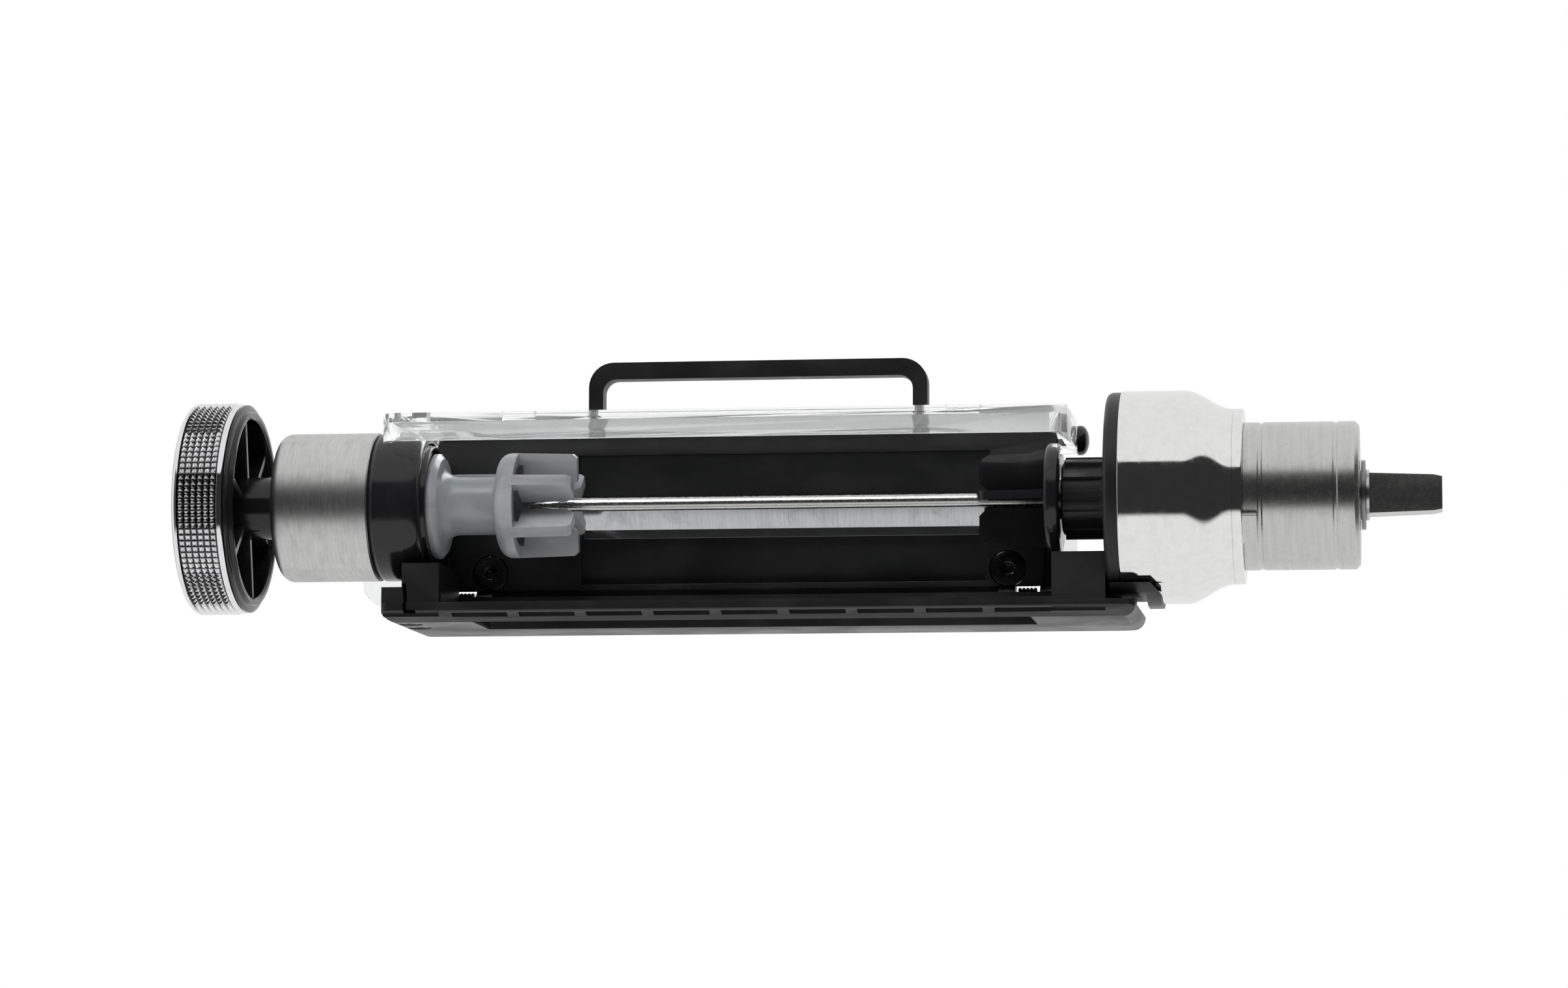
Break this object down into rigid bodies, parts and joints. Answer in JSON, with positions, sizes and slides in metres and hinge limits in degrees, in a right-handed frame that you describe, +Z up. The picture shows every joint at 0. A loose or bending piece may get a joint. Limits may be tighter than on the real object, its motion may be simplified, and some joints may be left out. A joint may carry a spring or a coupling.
{
  "type": "vegetable peeler and sheet cutter attachment",
  "caption": "Motor-driven peeler that turns a vegetable on a skewer against a tilting blade carriage, under a clear lifting guard, with a spring plunger and knurled knob.",
  "frame": {"origin": "on the drive axis, at the shoulder where the hub shank leaves the housing", "axes": "+X along the drive axis, out of the shank towards the machine; -Y faces the user; +Z up"},
  "size_m": [0.3004, 0.0582, 0.0633],
  "materials": {
    "polished_alloy": "polished",
    "brushed_stainless": "brushed",
    "bright_chrome": "polished",
    "blade_steel": "polished",
    "machined_steel": "satin",
    "spring_steel": "satin",
    "bearing_bronze": "satin",
    "blackened_steel": "black oxide",
    "black_moulding": "satin",
    "gloss_black": "gloss",
    "grey_moulding": "satin",
    "clear_plastic": "clear",
    "white_acetal": "satin"
  },
  "bodies": {
    "body": {"hub_housing": "polished_alloy", "hub_shank": "machined_steel", "locating_key": "machined_steel", "end_plate": "black_moulding", "front_bush": "bearing_bronze", "rear_bush": "bearing_bronze", "housing_screws": "machined_steel", "lower_frame": "black_moulding", "frame_screws": "blackened_steel", "collar": "gloss_black", "barrel": "brushed_stainless", "barrel_bush": "black_moulding", "plunger_spring": "spring_steel", "carriage_springs": "blackened_steel"},
    "drive": {"drive_shaft": "machined_steel", "drive_prong": "gloss_black", "prong_pin": "machined_steel", "skewer": "machined_steel", "thrust_washer": "white_acetal", "retaining_clip": "spring_steel"},
    "plunger": {"plunger_rod": "machined_steel", "knob_rim": "bright_chrome", "knob_core": "gloss_black", "knob_cap": "bright_chrome", "knob_screw": "machined_steel", "holder_clip": "spring_steel"},
    "food_clamp": {"food_holder": "grey_moulding"},
    "carriage": {"carriage_panel": "black_moulding", "blade_carrier": "black_moulding", "blade": "blade_steel", "blade_screws": "blackened_steel", "pivot_pins": "machined_steel", "rear_shield": "clear_plastic", "shield_screws": "blackened_steel", "hinge_caps": "gloss_black"},
    "guard": {"guard_cover": "clear_plastic", "handle": "black_moulding", "handle_screws": "blackened_steel"}
  },
  "joints": [
    {"name": "drive_spin", "type": "hinge", "parent": "body", "child": "drive", "pos_m": [0, 0, 0], "axis": [1, 0, 0], "continuous": true},
    {"name": "plunger_slide", "type": "slide", "parent": "body", "child": "plunger", "axis": [-1, 0, 0], "range_m": [0, 0.02], "stiffness_N_per_m": 600, "springref_m": -0.012, "deforming": ["plunger_spring"]},
    {"name": "holder_spin", "type": "hinge", "parent": "plunger", "child": "food_clamp", "pos_m": [-0.195, 0, 0], "axis": [1, 0, 0], "continuous": true},
    {"name": "carriage_tilt", "type": "hinge", "parent": "body", "child": "carriage", "pos_m": [-0.122, 0.01875, -0.0225], "axis": [-1, 0, 0], "range_deg": [0, 42], "stiffness_Nm_per_rad": 0.15, "springref_deg": -28.65, "deforming": ["carriage_springs"]},
    {"name": "guard_lift", "type": "hinge", "parent": "carriage", "child": "guard", "pos_m": [-0.122, 0.02, 0.0164], "axis": [-1, 0, 0], "range_deg": [0, 95]}
  ],
  "couplings": [
    {"joint": "holder_spin", "follows": "drive_spin", "ratio": 1}
  ]
}
